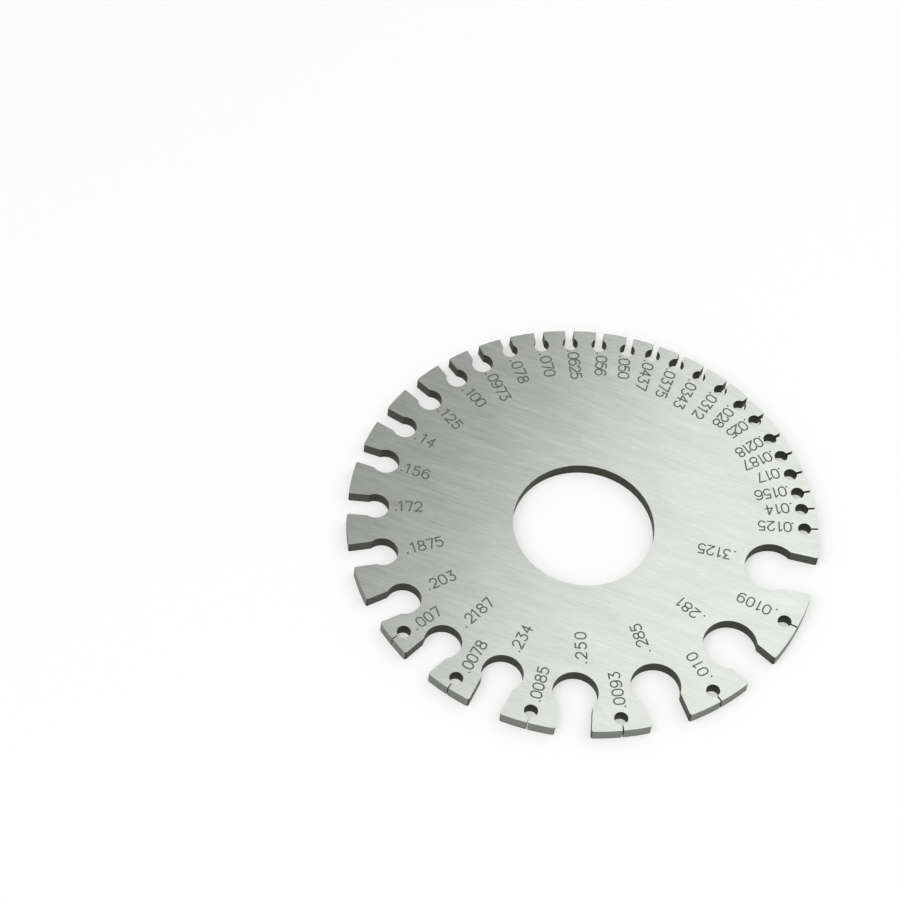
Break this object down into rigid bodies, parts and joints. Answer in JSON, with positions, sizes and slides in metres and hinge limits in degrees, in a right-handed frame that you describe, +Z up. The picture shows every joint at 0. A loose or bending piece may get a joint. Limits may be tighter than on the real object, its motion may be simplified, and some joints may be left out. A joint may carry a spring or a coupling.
{
  "type": "wire gauge",
  "caption": "Flat round steel wire gauge with graduated slots round its rim, each ending in a round relief hole, and a large hole in its middle.",
  "frame": {"origin": "middle of the disc on its underside, which lies on the surface that the gauge rests on", "axes": "+Z up through the disc towards the marked side; seen from above, the widest slot opens close to +X"},
  "size_m": [0.085, 0.085, 0.0024],
  "materials": {
    "brushed_steel_disc": "fine straight grain on the faces, plain machined rim and slot walls"
  },
  "bodies": {
    "root": {"gauge_disc": "brushed_steel_disc"}
  },
  "joints": []
}
